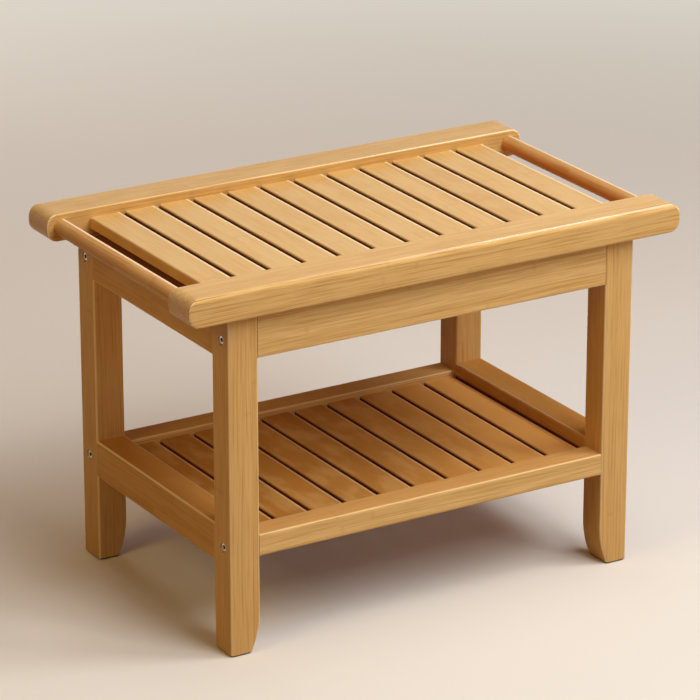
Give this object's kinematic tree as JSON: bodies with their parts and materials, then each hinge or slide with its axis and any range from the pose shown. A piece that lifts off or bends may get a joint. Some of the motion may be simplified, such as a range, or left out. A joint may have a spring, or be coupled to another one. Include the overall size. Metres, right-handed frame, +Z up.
{
  "type": "shower bench",
  "caption": "Low bamboo bench with a slatted seat between rounded rails, a round grip bar at each end, bolted legs with bowed feet and a slatted shelf below.",
  "frame": {"origin": "on the floor, under the middle of the bench", "axes": "+X along the length of the seat, towards its right end; +Y towards its back; +Z up"},
  "size_m": [0.632, 0.376, 0.43],
  "materials": {
    "bamboo": "laminated bamboo, satin lacquer",
    "pin_wood": "plain turned wood",
    "bolt_steel": "zinc plated",
    "screw_steel": "zinc plated",
    "pad_rubber": "matt moulded rubber"
  },
  "bodies": {
    "root": {"leg_back_right": "bamboo", "leg_back_left": "bamboo", "leg_front_right": "bamboo", "leg_front_left": "bamboo", "side_apron_left": "bamboo", "side_apron_right": "bamboo", "side_stretcher_left": "bamboo", "side_stretcher_right": "bamboo", "seat_rail_front": "bamboo", "seat_rail_back": "bamboo", "apron_front": "bamboo", "apron_back": "bamboo", "shelf_rail_front": "bamboo", "shelf_rail_back": "bamboo", "grip_bar_left": "bamboo", "grip_bar_right": "bamboo", "seat_slat_01": "bamboo", "seat_slat_02": "bamboo", "seat_slat_03": "bamboo", "seat_slat_04": "bamboo", "seat_slat_05": "bamboo", "seat_slat_06": "bamboo", "seat_slat_07": "bamboo", "seat_slat_08": "bamboo", "seat_slat_09": "bamboo", "seat_slat_10": "bamboo", "seat_slat_11": "bamboo", "seat_slat_12": "bamboo", "shelf_slat_01": "bamboo", "shelf_slat_02": "bamboo", "shelf_slat_03": "bamboo", "shelf_slat_04": "bamboo", "shelf_slat_05": "bamboo", "shelf_slat_06": "bamboo", "shelf_slat_07": "bamboo", "shelf_slat_08": "bamboo", "shelf_slat_09": "bamboo", "shelf_slat_10": "bamboo", "side_frame_pins": "pin_wood", "apron_pins": "pin_wood", "shelf_rail_pins": "pin_wood", "leg_top_pins": "pin_wood", "frame_bolts": "bolt_steel", "barrel_nuts": "bolt_steel", "seat_screws": "screw_steel", "foot_pad_back_right": "pad_rubber", "foot_pad_back_left": "pad_rubber", "foot_pad_front_right": "pad_rubber", "foot_pad_front_left": "pad_rubber"}
  },
  "joints": []
}
